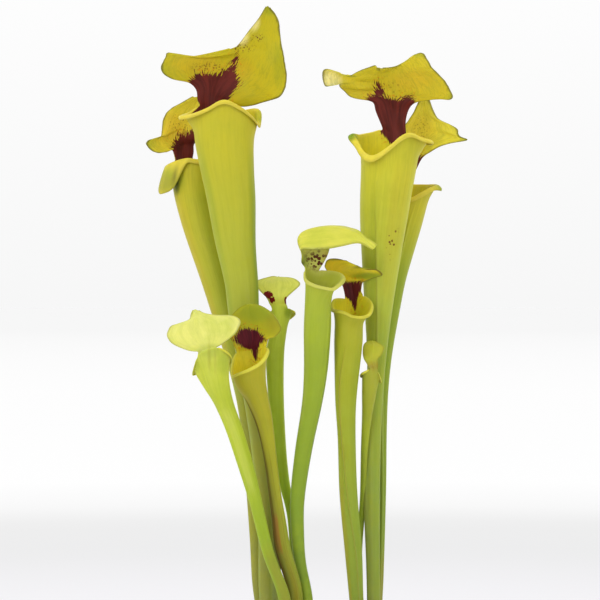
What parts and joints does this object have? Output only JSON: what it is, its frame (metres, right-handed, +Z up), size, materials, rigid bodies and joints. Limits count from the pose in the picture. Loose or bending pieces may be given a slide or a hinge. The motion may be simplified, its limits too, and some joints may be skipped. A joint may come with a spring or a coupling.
{
  "type": "yellow pitcher plant in a pot",
  "caption": "Clump of upright yellow trumpet pitchers with raised lids and maroon throats, growing in a plain round pot.",
  "frame": {"origin": "middle of the pot's flat underside", "axes": "+Z up along the pot's axis and the pitchers, -Y towards the front that the picture shows, +X to the right as seen from the front"},
  "size_m": [0.2584, 0.172, 0.6676],
  "materials": {
    "leaf_yellow": "smooth living leaf with fine lengthwise veins, yellow-green",
    "leaf_green": "smooth living leaf with fine lengthwise veins, lime green",
    "rhizome": "rough brown rhizome with old leaf scars",
    "growing_mix": "moist peat with pale grit",
    "pot_plastic": "plain moulded black plastic"
  },
  "bodies": {
    "root": {"pitcher_tall_left_front": "leaf_yellow", "pitcher_tall_left_back": "leaf_yellow", "pitcher_tall_right_front": "leaf_yellow", "pitcher_tall_right_back": "leaf_yellow", "pitcher_small_left_front": "leaf_green", "pitcher_small_left_mid": "leaf_green", "pitcher_small_left_back": "leaf_green", "pitcher_mid_centre": "leaf_green", "pitcher_mid_right": "leaf_green", "pitcher_small_right": "leaf_green", "rhizome": "rhizome", "potting_mix": "growing_mix", "pot": "pot_plastic"}
  },
  "joints": []
}
